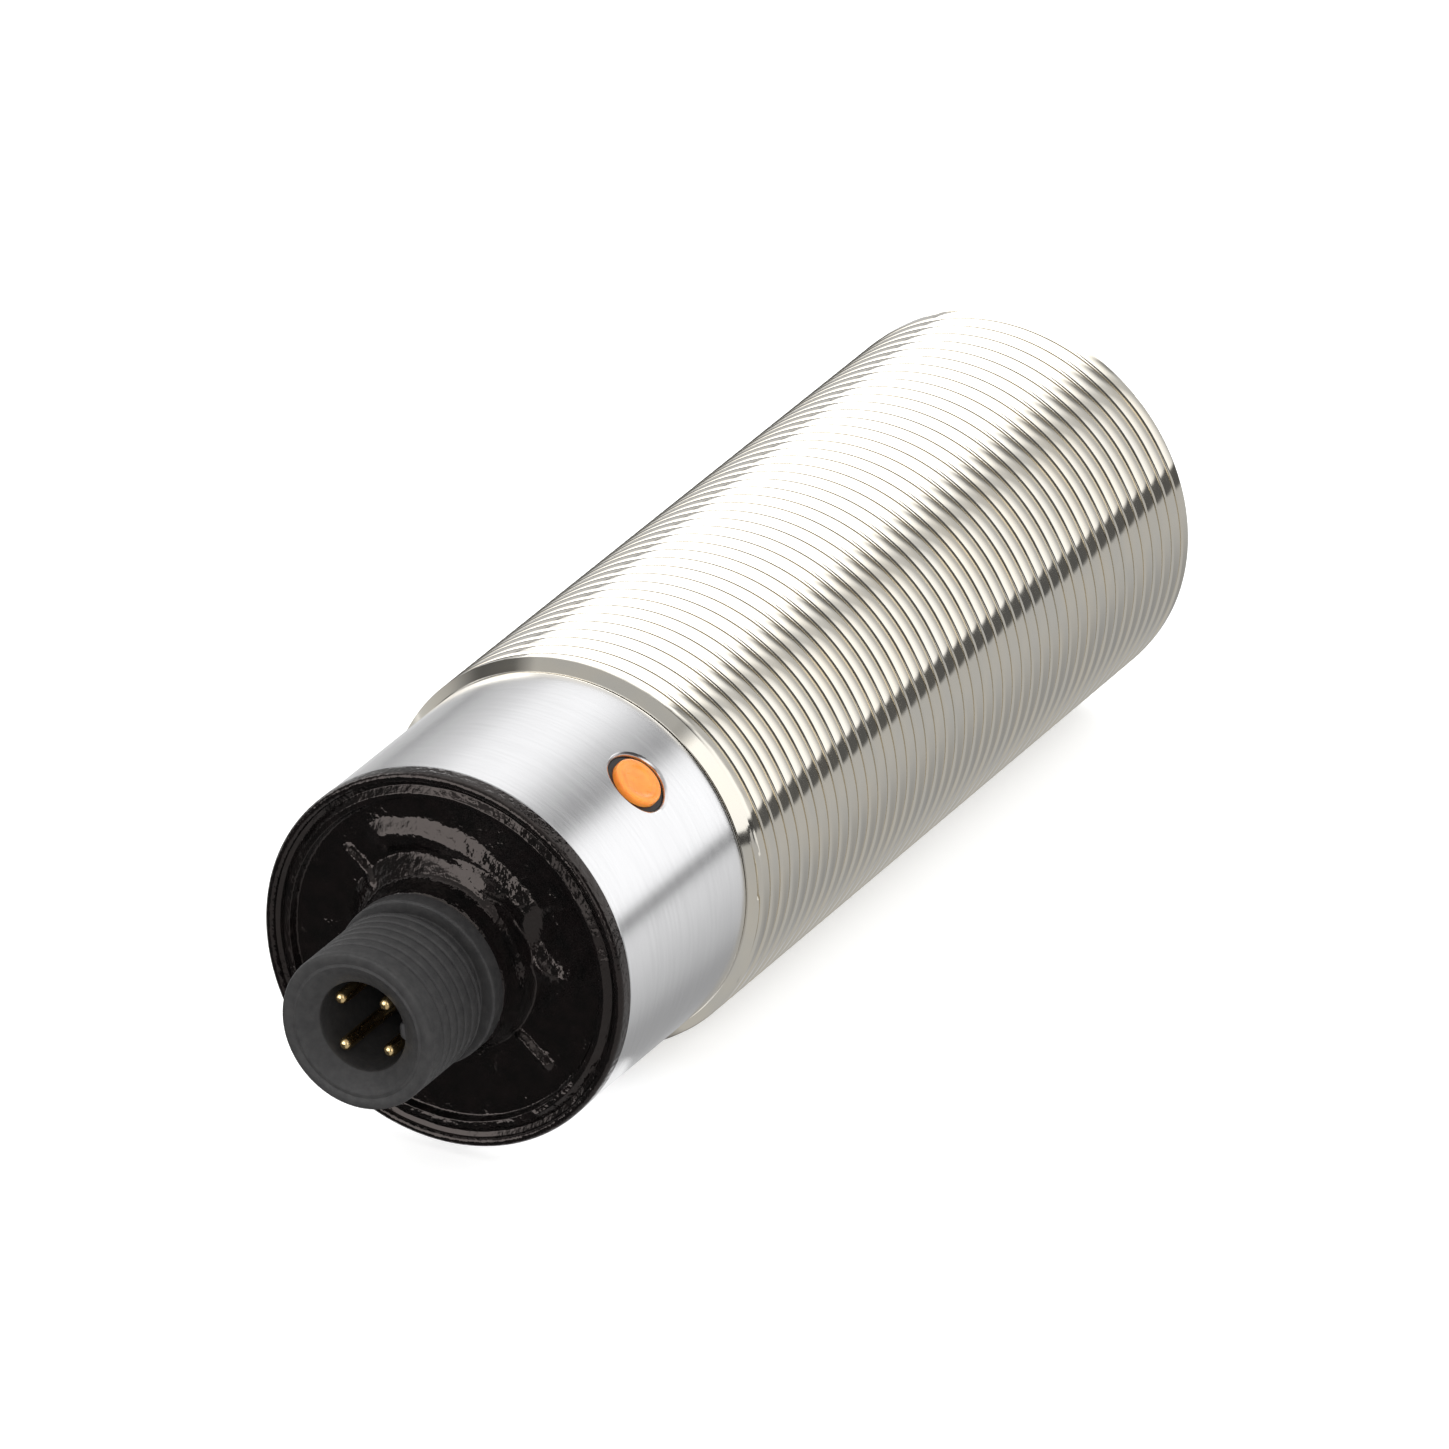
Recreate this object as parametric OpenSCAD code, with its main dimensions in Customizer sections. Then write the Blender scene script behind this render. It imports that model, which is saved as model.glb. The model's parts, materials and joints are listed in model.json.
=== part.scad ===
// Cylindrical photoelectric sensor with an M30 threaded barrel, a plain rear
// sleeve, a moulded rear cap and a four-pin M12 plug.
// The body lies along Y. The origin is the centre of the sensing face, which
// looks along +Y. The plug points along -Y and +Z is up. Millimetres.

/* [Barrel] */
// Major diameter of the barrel thread
barrel_d = 30; // [29.75:0.25:30.5]
// Pitch of the barrel thread
barrel_pitch = 1.5; // [1:0.25:2]
// Length of the threaded barrel, from the sensing face to the sleeve
barrel_len = 68.1; // [62:0.1:80]

/* [Rear sleeve and cap] */
// Outer diameter of the plain sleeve
sleeve_d = 28.4; // [28.2:0.1:28.8]
// Visible length of the plain sleeve
sleeve_len = 17.6; // [17:0.1:20]
// Visible length of the cap's outer band
cap_band = 1.3; // [1:0.1:1.7]

/* [M12 plug] */
// Major diameter of the plug thread
plug_d = 12; // [11.8:0.1:12.4]
// Pitch of the plug thread
plug_pitch = 1; // [0.75:0.25:1]
// How far the plug stands out from the cap's rim
plug_len = 12.5; // [12:0.1:14]
// Diameter of the plug's cavity
cavity_d = 8.4; // [8.2:0.1:8.6]
// Diameter of the circle that the contact pins stand on
pin_circle_d = 5; // [4.8:0.1:5.2]
// Diameter of a contact pin
pin_d = 1; // [0.8:0.1:1]

/* [Indicator] */
// Angle of the indicator above the +X direction, in degrees
indicator_angle = 50; // [0:1:90]
// Distance from the barrel's shoulder to the centre of the indicator
indicator_setback = 6.7; // [6.6:0.1:8]
// Diameter of the hole in the sleeve
indicator_hole_d = 4.8; // [4.6:0.1:5.2]
// Diameter of the lens head
indicator_lens_d = 3.8; // [3.6:0.1:4]

/* [Optics] */
// Distance between the two lens axes
lens_spacing = 10.8; // [10.6:0.1:11.2]
// Diameter of each lens
lens_d = 9.4; // [9:0.1:9.6]

/* [Hidden] */
$fn = 72;

// Metric thread form: depth and root width follow the pitch
thread_depth_ratio = 0.6134;
thread_root_ratio = 0.125;
flank_angle = 30;
groove_half_ratio = thread_root_ratio / 2 + thread_depth_ratio * tan(flank_angle);
// Least length of full crest between the last groove and the chamfer after it
crest_margin = 0.075;

barrel_r = barrel_d / 2;
bore_r = barrel_r - 2.2;
front_bore_r = barrel_r - 1.8;
front_bore_depth = 3;
barrel_chamfer = 0.75;
first_groove = 2.5;
front_chamfer = 0.4;
last_groove = front_chamfer + groove_half_ratio * barrel_pitch + crest_margin;
spigot_r = 13.3;
spigot_len = 3.4;

sleeve_r = sleeve_d / 2;
sleeve_bore_r = 13.35;
sleeve_edge = 0.25;

joint_y = -barrel_len;
cap_y = joint_y - sleeve_len;
rim_y = cap_y - cap_band;
tip_y = rim_y - plug_len;

// Rear cap: a dished disc with a hub round the plug and a ring inside the sleeve
cap_r = sleeve_r + 0.05;
cap_plug_r = 13.3;
cap_plug_end = cap_y + 4.2;
cap_floor = rim_y + 2.4;
cap_hollow_r = 11;
rim_round = 0.45;
rim_inner_r = 13.35;
rim_groove_depth = 0.55;
ledge_r = 12.9;
ledge_depth = 0.25;
dish_r = 12.3;
dish_depth = 0.8;
hub_foot_r = 8.4;
hub_r = 6.3;
hub_len = 2.6;
tongue_r = [8.8, 11.6];
tongue_height = 0.35;
tongue_from = -2;
tongue_to = 128;
rib_r = [7.6, 10.6];
rib_width = 0.5;
rib_height = 0.5;

seal_section_r = 0.55;
seal_ring_r = cap_plug_r - seal_section_r + 0.03;
seal_y = cap_y + 2.4;
seal_groove_w = 1.3;
seal_groove_r = seal_ring_r - seal_section_r - 0.02;

// Plug: threaded nose, relief, collar and a shank through the cap
plug_r = plug_d / 2;
plug_nose = 0.7;
plug_thread_end = rim_y - 5;
plug_run_out = 0.4;
relief_r = 5.25;
collar_back = rim_y - hub_len;
collar_front = rim_y - 4;
collar_edge = 0.2;
shank_r = 5.2;
shank_end = rim_y + 3.8;
cavity_r = cavity_d / 2;
cavity_floor = tip_y + 9.4;
cavity_mouth = 0.35;
key_angle = indicator_angle - 45;
key_width = 1.3;
key_depth = 0.75;
key_root = 0.4;
pin_tip_back = 1;
pin_r = pin_d / 2;
plug_seal_r = 0.5;
plug_seal_y = rim_y + 0.6;

board_t = 1.6;
plug_board_r = 10.6;
plug_board_back = rim_y + 4.4;
plug_board_front = plug_board_back + board_t;

indicator_y = joint_y - indicator_setback;
hole_r = indicator_hole_d / 2;
lens_head_r = indicator_lens_d / 2;
lens_top = sleeve_r + 0.1;
lens_head_base = 12.6;
lens_dish_depth = 0.15;
stem_r = 1.5;
bracket_top = 13.3;
bracket_collar_top = sleeve_r - 0.5;
bracket_base = 10.6;
bracket_size = [6.4, 8.4];
bracket_leg = 1.2;
led_height = 1.1;

// Electronics: the main board's normal points at the indicator
half_board = board_t / 2;
board_w = 22.6;
optics_board_r = 12.3;
optics_board_front = -14;
optics_board_back = optics_board_front - board_t;
tube_r = [12.1, 12.6];
tube_y = [joint_y + 2, optics_board_back - 1.4];
rail_w = 4;
rail_inner = 10.5;

// Optics: two lenses in one block, behind a flush window
window_r = 11.9;
window_t = 2;
bezel_r = front_bore_r - 0.05;
bezel_ledge_r = 10.8;
gasket_t = 0.25;
block_r = bore_r - 0.1;
block_front = -front_bore_depth - 0.1;
lens_r = lens_d / 2;
lens_sag = 1.1;
lens_edge_t = 1.4;
lens_back = -6.2;
channel_r = lens_r - 0.6;
emitter_r = 1.6;
emitter_len = 1.2;

pin_angles = [for (i = [0:3]) indicator_angle + 90 * i];

// A shape drawn with its axis along Z, laid along Y
module along_y() rotate([-90, 0, 0]) children();

// A shape drawn on the +X side, turned up to an angle about the body's axis
module around(angle) rotate([0, -angle, 0]) children();

// A ring or solid of revolution about the body's axis from [radius, y] points
module turned(points) along_y() rotate_extrude() polygon(points);

module disc(r, y0, y1) translate([0, y0, 0]) along_y() cylinder(r = r, h = y1 - y0);

module ring(r_out, r_in, y0, y1) difference() {
    disc(r_out, y0, y1);
    disc(r_in, y0 - 1, y1 + 1);
}

module o_ring(ring_r, section_r, y) translate([0, y, 0]) along_y()
    rotate_extrude() translate([ring_r, 0]) circle(r = section_r, $fn = 32);

// A rod whose axis is parallel to the body's, offset along +X
module rod_at(x, r, y0, y1) translate([x, 0, 0]) disc(r, y0, y1);

// A cylinder or cone along +X, from one radius to another
module radial(r, from, to, r_end = undef) translate([from, indicator_y, 0])
    rotate([0, 90, 0]) cylinder(r1 = r, r2 = is_undef(r_end) ? r : r_end, h = to - from);

// A box in the board's frame: X is the board's normal, Y the body's axis
module board_box(x0, x1, y, z, len_y, len_z)
    around(indicator_angle)
        translate([x0, y - len_y / 2, z - len_z / 2]) cube([x1 - x0, len_y, len_z]);

// Outline of one thread: a V groove at each turn, as [radius, y] points
function thread(r, pitch, y_first, count) = [
    for (i = [0:count - 1], side = [-1, 1], level = side < 0 ? [0, 1] : [1, 0])
        [r - level * thread_depth_ratio * pitch,
         y_first + i * pitch + side * pitch * (level == 0 ? groove_half_ratio : thread_root_ratio / 2)]
];

// How many grooves fit between the first groove and the last one allowed
function groove_count(length, pitch) = floor(length / pitch + 1.01);
plug_first_groove = tip_y + plug_nose + 0.75;
plug_last_groove = plug_thread_end - plug_run_out - groove_half_ratio * plug_pitch - crest_margin;
barrel_grooves = groove_count(barrel_len - first_groove - last_groove, barrel_pitch);
plug_grooves = groove_count(plug_last_groove - plug_first_groove, plug_pitch);

module threaded_barrel() color("lemonchiffon") turned(concat(
    [[bore_r, joint_y - spigot_len], [spigot_r, joint_y - spigot_len], [spigot_r, joint_y],
     [barrel_r - barrel_chamfer, joint_y], [barrel_r, joint_y + barrel_chamfer]],
    thread(barrel_r, barrel_pitch, joint_y + first_groove, barrel_grooves),
    [[barrel_r, -front_chamfer], [barrel_r - front_chamfer, 0], [front_bore_r, 0],
     [front_bore_r, -front_bore_depth], [bore_r, -front_bore_depth]]
));

module plain_sleeve() color("lightsteelblue") difference() {
    turned([
        [sleeve_bore_r, cap_y], [sleeve_r - sleeve_edge, cap_y], [sleeve_r, cap_y + sleeve_edge],
        [sleeve_r, joint_y - sleeve_edge], [sleeve_r - sleeve_edge, joint_y], [sleeve_bore_r, joint_y]
    ]);
    around(indicator_angle) {
        radial(hole_r, sleeve_bore_r - 2, sleeve_r + 1);
        radial(hole_r, sleeve_r - 0.35, sleeve_r + 0.35, hole_r + 0.6);
    }
}

module cap_outline() turned([
    [shank_r, cap_floor], [cap_hollow_r, cap_floor], [cap_hollow_r, cap_plug_end],
    [cap_plug_r, cap_plug_end], [cap_plug_r, seal_y + seal_groove_w / 2],
    [seal_groove_r, seal_y + seal_groove_w / 2], [seal_groove_r, seal_y - seal_groove_w / 2],
    [cap_plug_r, seal_y - seal_groove_w / 2], [cap_plug_r, cap_y], [cap_r, cap_y],
    [cap_r, rim_y + rim_round], [cap_r - rim_round, rim_y], [rim_inner_r, rim_y],
    [rim_inner_r, rim_y + rim_groove_depth], [ledge_r, rim_y + rim_groove_depth],
    [ledge_r, rim_y + ledge_depth], [dish_r, rim_y + ledge_depth], [dish_r, rim_y + dish_depth],
    [hub_foot_r, rim_y + dish_depth], [hub_r + 0.8, rim_y - 0.3], [hub_r, rim_y - 1.4],
    [hub_r, collar_back], [shank_r, collar_back]
]);

module cap_tongue() along_y() rotate([0, 0, -tongue_to])
    rotate_extrude(angle = tongue_to - tongue_from)
        polygon([
            [tongue_r[0], rim_y + dish_depth + 0.2], [tongue_r[0], rim_y + dish_depth - tongue_height],
            [tongue_r[1], rim_y + dish_depth - tongue_height], [tongue_r[1], rim_y + dish_depth + 0.2]
        ]);

module cap_rib(angle) around(angle)
    translate([rib_r[0], rim_y + dish_depth - rib_height, -rib_width / 2])
        cube([rib_r[1] - rib_r[0], rib_height + 0.2, rib_width]);

module rear_cap() color("dimgray") difference() {
    union() {
        cap_outline();
        cap_tongue();
        cap_rib(indicator_angle + 90);
        cap_rib(indicator_angle - 90);
    }
    o_ring(shank_r, plug_seal_r, plug_seal_y);
}

module cap_seal() color("darkslategray") o_ring(seal_ring_r, seal_section_r, seal_y);

module plug_shell() difference() {
    turned(concat(
        [[shank_r, shank_end], [cavity_r, shank_end], [cavity_r, tip_y + cavity_mouth],
         [cavity_r + cavity_mouth, tip_y], [plug_r - plug_nose, tip_y], [plug_r, tip_y + plug_nose]],
        thread(plug_r, plug_pitch, plug_first_groove, plug_grooves),
        [[plug_r, plug_thread_end - plug_run_out], [relief_r, plug_thread_end], [relief_r, collar_front],
         [hub_r - collar_edge, collar_front], [hub_r, collar_front + collar_edge],
         [hub_r, collar_back], [shank_r, collar_back]]
    ));
    o_ring(shank_r, plug_seal_r, plug_seal_y);
}

// Coding rib on the cavity wall, rooted a little way into the shell
module plug_key() around(key_angle)
    translate([cavity_r - key_depth, tip_y + 1, -key_width / 2])
        cube([key_depth + key_root, cavity_floor - tip_y - 1, key_width]);

module plug_housing() color("slategray") union() {
    plug_shell();
    plug_key();
}

module plug_seal() color("darkslategray") o_ring(shank_r, plug_seal_r, plug_seal_y);

module pin_carrier() color("darkslategray") difference() {
    disc(cavity_r, cavity_floor, shank_end);
    for (angle = pin_angles) around(angle)
        rod_at(pin_circle_d / 2, pin_r, cavity_floor - 1, shank_end + 1);
}

module contact_pin(index) color("gold") around(pin_angles[index]) {
    rod_at(pin_circle_d / 2, pin_r, tip_y + pin_tip_back + pin_r, plug_board_front);
    translate([pin_circle_d / 2, tip_y + pin_tip_back + pin_r, 0]) sphere(r = pin_r);
}

module contact_pin_1() contact_pin(0);
module contact_pin_2() contact_pin(1);
module contact_pin_3() contact_pin(2);
module contact_pin_4() contact_pin(3);

module plug_board() color("seagreen") difference() {
    disc(plug_board_r, plug_board_back, plug_board_front);
    for (angle = pin_angles) around(angle)
        rod_at(pin_circle_d / 2, pin_r, plug_board_back - 1, plug_board_front + 1);
}

module potting_ring() color("black") ring(cap_hollow_r - 0.05, shank_r, cap_floor, plug_board_back);

module indicator_lens() color("darkorange") around(indicator_angle) difference() {
    union() {
        radial(stem_r, half_board + led_height + 0.1, lens_head_base);
        radial(lens_head_r, lens_head_base, lens_top);
    }
    radial(lens_head_r - 0.9, lens_top - lens_dish_depth, lens_top + 0.3, lens_head_r);
}

module indicator_bracket() color("black") around(indicator_angle) difference() {
    union() {
        intersection() {
            disc(bracket_top, indicator_y - bracket_size[0] / 2, indicator_y + bracket_size[0] / 2);
            translate([bracket_base, indicator_y - bracket_size[0] / 2, -bracket_size[1] / 2])
                cube([bracket_top, bracket_size[0], bracket_size[1]]);
        }
        radial(hole_r - 0.1, bracket_base + 1, bracket_collar_top);
        for (side = [-1, 1])
            translate([half_board, indicator_y - bracket_size[0] / 2,
                       side * (bracket_size[1] - bracket_leg) / 2 - bracket_leg / 2])
                cube([bracket_base - half_board + 0.5, bracket_size[0], bracket_leg]);
    }
    radial(stem_r, 0, bracket_top + 2);
    radial(lens_head_r, lens_head_base, bracket_top + 2);
}

module indicator_led() color("orange")
    board_box(half_board, half_board + led_height, indicator_y, 0, 2, 2);

module main_board() color("seagreen")
    board_box(-half_board, half_board, (optics_board_back + plug_board_front) / 2, 0,
              optics_board_back - plug_board_front, board_w);

module board_rails() color("dimgray") for (side = [0, 180]) around(indicator_angle + 90 + side)
    difference() {
        intersection() {
            disc(tube_r[0], tube_y[0] + 1, tube_y[1] - 1);
            translate([rail_inner, tube_y[0], -rail_w / 2])
                cube([rail_w, tube_y[1] - tube_y[0], rail_w]);
        }
        translate([0, tube_y[0], -half_board]) cube([board_w / 2, tube_y[1] - tube_y[0], board_t]);
    }

module board_header() color("black")
    board_box(half_board, half_board + 2.5, optics_board_back - 2.5, 0, 5, 12);

module processor_chip() color("black") board_box(half_board, half_board + 1, -34, 0, 7, 7);

module output_driver() color("black") board_box(half_board, half_board + 1.5, -52, -5, 5, 4);

module power_inductor() color("gray") around(indicator_angle)
    translate([half_board, -58, 5]) rotate([0, 90, 0]) cylinder(r = 3.6, h = 4.2);

module filter_capacitor() color("silver") around(indicator_angle)
    translate([-half_board - 7.7, -44, 0]) rotate([0, 90, 0]) cylinder(r = 3.15, h = 7.7);

module signal_amplifier() color("black") board_box(-half_board - 1.2, -half_board, -26, 0, 4, 5);

module amplifier_shield() color("silver") difference() {
    board_box(-half_board - 2.4, -half_board, -26, 0, 9, 12);
    board_box(-half_board - 2.1, 0, -26, 0, 8.4, 11.4);
}

module insulating_tube() color("khaki") ring(tube_r[1], tube_r[0], tube_y[0], tube_y[1]);

module optics_board() color("seagreen") disc(optics_board_r, optics_board_back, optics_board_front);

module optics_block() color("black") difference() {
    disc(block_r, optics_board_front, block_front);
    for (side = [-1, 1]) {
        rod_at(side * lens_spacing / 2, channel_r, optics_board_front - 1, 0);
        rod_at(side * lens_spacing / 2, lens_r, lens_back, 0);
    }
}

module emitter_led() color("red") {
    rod_at(lens_spacing / 2, emitter_r, optics_board_front, optics_board_front + emitter_len);
    translate([lens_spacing / 2, optics_board_front + emitter_len, 0]) sphere(r = emitter_r);
}

module receiver_diode() color("black")
    translate([-lens_spacing / 2 - 2.1, optics_board_front, -2.1]) cube([4.2, 1.1, 4.2]);

// A plano-convex lens whose dome looks along +Y
module dome_lens(x) {
    dome_r = (lens_r * lens_r + lens_sag * lens_sag) / (2 * lens_sag);
    dome_top = lens_back + lens_edge_t + lens_sag;
    intersection() {
        rod_at(x, lens_r, lens_back, dome_top + 1);
        translate([x, dome_top - dome_r, 0]) sphere(r = dome_r, $fn = 144);
    }
}

module emitter_lens() color("lightcyan") dome_lens(lens_spacing / 2);

module receiver_lens() color("lightcyan") dome_lens(-lens_spacing / 2);

module front_bezel() color("black") turned([
    [bezel_r, -front_bore_depth], [bezel_r, 0], [window_r, 0],
    [window_r, -window_t - gasket_t], [bezel_ledge_r, -window_t - gasket_t],
    [bezel_ledge_r, -front_bore_depth]
]);

module window_seal() color("darkslategray")
    ring(window_r, bezel_ledge_r + 0.1, -window_t - gasket_t, -window_t);

module front_window() color("darkred") disc(window_r, -window_t, 0);

threaded_barrel();
plain_sleeve();
rear_cap();
cap_seal();
plug_housing();
plug_seal();
pin_carrier();
contact_pin_1();
contact_pin_2();
contact_pin_3();
contact_pin_4();
plug_board();
potting_ring();
indicator_lens();
indicator_bracket();
indicator_led();
main_board();
board_rails();
board_header();
processor_chip();
output_driver();
power_inductor();
filter_capacitor();
signal_amplifier();
amplifier_shield();
insulating_tube();
optics_board();
optics_block();
emitter_led();
receiver_diode();
emitter_lens();
receiver_lens();
front_bezel();
window_seal();
front_window();
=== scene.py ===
import json
import math

import bmesh
import bpy
import numpy as np
from mathutils import Matrix, Vector, noise


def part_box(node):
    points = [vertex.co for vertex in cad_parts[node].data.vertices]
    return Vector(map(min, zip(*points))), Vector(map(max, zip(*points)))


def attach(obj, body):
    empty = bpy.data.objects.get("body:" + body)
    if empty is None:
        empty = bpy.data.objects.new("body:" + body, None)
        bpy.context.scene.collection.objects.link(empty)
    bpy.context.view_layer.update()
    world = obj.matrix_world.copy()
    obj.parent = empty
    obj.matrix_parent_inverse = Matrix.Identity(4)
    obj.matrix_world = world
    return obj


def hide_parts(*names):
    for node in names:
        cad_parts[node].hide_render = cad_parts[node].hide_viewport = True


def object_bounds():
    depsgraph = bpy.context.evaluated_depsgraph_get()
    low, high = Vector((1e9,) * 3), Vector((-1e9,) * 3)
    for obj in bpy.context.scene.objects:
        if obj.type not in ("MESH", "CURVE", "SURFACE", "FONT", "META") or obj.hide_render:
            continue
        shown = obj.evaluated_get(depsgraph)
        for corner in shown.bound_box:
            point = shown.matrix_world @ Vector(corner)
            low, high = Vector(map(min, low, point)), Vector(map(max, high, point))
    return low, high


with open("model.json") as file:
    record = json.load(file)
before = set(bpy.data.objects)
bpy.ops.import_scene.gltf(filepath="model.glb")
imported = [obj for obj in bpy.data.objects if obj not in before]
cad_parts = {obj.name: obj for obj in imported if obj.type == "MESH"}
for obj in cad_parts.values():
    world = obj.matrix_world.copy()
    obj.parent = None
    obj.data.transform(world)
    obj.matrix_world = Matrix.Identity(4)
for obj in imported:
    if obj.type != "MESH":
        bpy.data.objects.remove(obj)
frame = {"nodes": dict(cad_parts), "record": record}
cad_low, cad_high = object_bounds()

# The body lies along Y, with the sensing face at y = 0 and the plug towards -Y.
# Outlines are lists of (radius, y) in millimetres.

MM = 0.001
TAU = 2 * math.pi


def low_y(node):
    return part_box(node)[0][1] / MM


def high_y(node):
    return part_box(node)[1][1] / MM


def radius(node):
    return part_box(node)[1][0] / MM


# Places taken from the frame, and the few sizes that its boxes don't show
BARREL_R = radius("threaded_barrel")
SLEEVE_R = radius("plain_sleeve")
CAP_R = radius("rear_cap")
PLUG_R = 6.0
CAP_BAND = 1.3
JOINT = high_y("plain_sleeve")
SLEEVE_END = low_y("plain_sleeve")
RIM = SLEEVE_END - CAP_BAND
HUB_END = low_y("rear_cap")
TIP = low_y("plug_housing")
INDICATOR_Y = sum(v[1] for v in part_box("indicator_led")) / 2 / MM
INDICATOR_ANGLE = math.radians(50)
PINS = range(1, 5)
PIN_CIRCLE_R = 2.5
CARRIER_BACK = RIM + 3.8


# ---------------------------------------------------------------- mesh tools

MERGE_DISTANCE = 1e-4
# Half a corner's angle from which it is left as it is, and how much of an edge one rounding may take
NEARLY_STRAIGHT = math.radians(88)
LONGEST_REACH = 0.45


def add_object(name, data):
    """A new object in the scene's own collection."""
    item = bpy.data.objects.new(name, data)
    bpy.context.scene.collection.objects.link(item)
    return item


def finish_mesh(bm, name, smooth_angle=32):
    """Scales a millimetre mesh to metres and shades it smooth up to the given edge angle."""
    bmesh.ops.remove_doubles(bm, verts=bm.verts, dist=MERGE_DISTANCE)
    bmesh.ops.dissolve_degenerate(bm, edges=bm.edges, dist=MERGE_DISTANCE)
    bmesh.ops.scale(bm, vec=(MM, MM, MM), verts=bm.verts)
    bmesh.ops.recalc_face_normals(bm, faces=bm.faces)
    mesh = bpy.data.meshes.new(name)
    bm.to_mesh(mesh)
    bm.free()
    mesh.shade_smooth()
    mesh.set_sharp_from_angle(angle=math.radians(smooth_angle))
    return add_object(name, mesh)


def polar(r, y, angle):
    """A point at a radius and an angle above +X, about the body's axis."""
    return (r * math.cos(angle), y, r * math.sin(angle))


def arc_steps(count, end=math.pi / 2):
    """Even steps of an angle from 0 to its end."""
    return [end * k / count for k in range(count + 1)]


def signed(angle):
    """The same angle between -180 and 180 degrees, in radians."""
    return (angle + math.pi) % TAU - math.pi


def add_rings(bm, rings, closed=True):
    """Joins rings of points, each ring a list of the same length, into a skin.

    A closed skin also joins its last ring to its first."""
    verts = [[bm.verts.new(p) for p in ring] for ring in rings]
    count = len(rings[0])
    pairs = zip(verts, verts[1:] + verts[:1]) if closed else zip(verts, verts[1:])
    for ring, after in pairs:
        for i in range(count):
            j = (i + 1) % count
            bm.faces.new((ring[i], ring[j], after[j], after[i]))
    return verts


def turned_rings(profile, sides, start=0.0):
    angles = [start + TAU * i / sides for i in range(sides)]
    return [[polar(max(r, 1e-3), y, a) for a in angles] for r, y in profile]


def turned(name, profile, sides, closed=True):
    """A solid of revolution from an outline of (radius, y) points.

    An outline that isn't closed starts and ends on the axis."""
    bm = bmesh.new()
    add_rings(bm, turned_rings(profile, sides), closed)
    return finish_mesh(bm, name)


def rounded(points, radii, steps=4):
    """Replaces each corner of a closed outline with a curve; radii is one number or one per corner."""
    count = len(points)
    radii = [radii] * count if isinstance(radii, (int, float)) else radii
    out = []
    for i, size in enumerate(radii):
        here = Vector(points[i])
        back = Vector(points[i - 1]) - here
        ahead = Vector(points[(i + 1) % count]) - here
        half = back.angle(ahead) / 2
        if size <= 0 or half > NEARLY_STRAIGHT:
            out.append(tuple(here))
            continue
        reach = min(size / math.tan(half), LONGEST_REACH * back.length, LONGEST_REACH * ahead.length)
        start = here + back.normalized() * reach
        end = here + ahead.normalized() * reach
        for k in range(steps + 1):
            t = k / steps
            out.append(tuple(start * (1 - t) ** 2 + here * 2 * t * (1 - t) + end * t ** 2))
    return out


def smooth_step(x, low, high):
    t = min(1.0, max(0.0, (x - low) / (high - low)))
    return t * t * (3 - 2 * t)


# ---------------------------------------------------------------- threads

# One pitch of a thread's outline, as (place along Y, depth) in pitches from the groove's middle.
# The barrel has a narrow slot between broad crests. Each crest rises in a bevel on the slot's front
# side and then slopes down gently, towards the sensing face, to the next slot's rear edge.
BARREL_FORM = [(-0.5, 0.0207), (-0.35, 0.0325), (-0.2, 0.047), (-0.11, 0.058), (-0.1, 0.3), (-0.05, 0.55),
               (-0.015, 0.6), (0.02, 0.5), (0.035, 0.112), (0.105, 0), (0.3, 0.0085), (0.5, 0.0207)]
PLUG_FORM = [(-0.5, 0), (-0.24, 0.003), (-0.15, 0.015), (-0.07, 0.055), (0, 0.07), (0.07, 0.055),
             (0.15, 0.015), (0.24, 0.003), (0.5, 0)]
RUN_IN = math.radians(9)


class Thread:
    """A right-handed outside thread whose groove starts at one angle and one y."""

    def __init__(self, form, major, pitch, start_y, start_angle):
        self.form = form
        self.major = major
        self.pitch = pitch
        self.start_y = start_y
        self.start_angle = start_angle

    def radius(self, y, turn):
        """Radius at y, after a part of a turn (0 to 1) from the start."""
        along = (y - self.start_y) / self.pitch - turn
        groove = round(along)
        if groove < 0:
            return self.major
        depth = self.pitch * float(np.interp(along - groove, *zip(*self.form)))
        if groove == 0:
            depth *= smooth_step(turn * TAU, 0, RUN_IN)
        return self.major - depth

    def skin(self, bm, low, high, sides):
        """Adds the helical skin between two y values.

        Rows of points past either value are moved onto it, and finish_mesh merges them."""
        per_turn = len(self.form) - 1
        first = math.floor((low - self.start_y) / self.pitch) - 2
        last = math.ceil((high - self.start_y) / self.pitch) + 1
        rows = [turn + place for turn in range(first, last + 1) for place, _ in self.form[:-1]]
        grid = []
        for i in range(sides):
            turn = i / sides
            column = []
            for row in rows:
                y = self.start_y + self.pitch * (row + turn)
                y = min(high, max(low, y))
                column.append(bm.verts.new(polar(self.radius(y, turn), y, self.start_angle - TAU * turn)))
            grid.append(column)
        for i in range(sides):
            shift = per_turn if i == sides - 1 else 0
            near, far = grid[i], grid[(i + 1) % sides]
            for k in range(len(rows) - 1 - shift):
                bm.faces.new((near[k], near[k + 1], far[k + 1 + shift], far[k + shift]))

    def ring(self, y, sides, limit):
        """A ring at one y, cut back to a limiting radius such as a chamfer's."""
        return [polar(min(limit, self.radius(y, i / sides)), y, self.start_angle - TAU * i / sides)
                for i in range(sides)]


def threaded_shell(name, thread, low, high, before, after, sides):
    """A closed shell with a helical skin between low and high.

    The outline goes up the thread, on through the points in after and back through those in before."""
    bm = bmesh.new()
    thread.skin(bm, low, high, sides)
    rings = [thread.ring(y, sides, r) for r, y in after]
    rings += [thread.ring(y, sides, r) for r, y in before]
    start = [thread.ring(high, sides, thread.major)]
    end = [thread.ring(low, sides, thread.major)]
    add_rings(bm, start + rings + end, closed=False)
    return finish_mesh(bm, name, 40)


# ---------------------------------------------------------------- materials

NOISE_RANGE = (0.3, 0.7)


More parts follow.
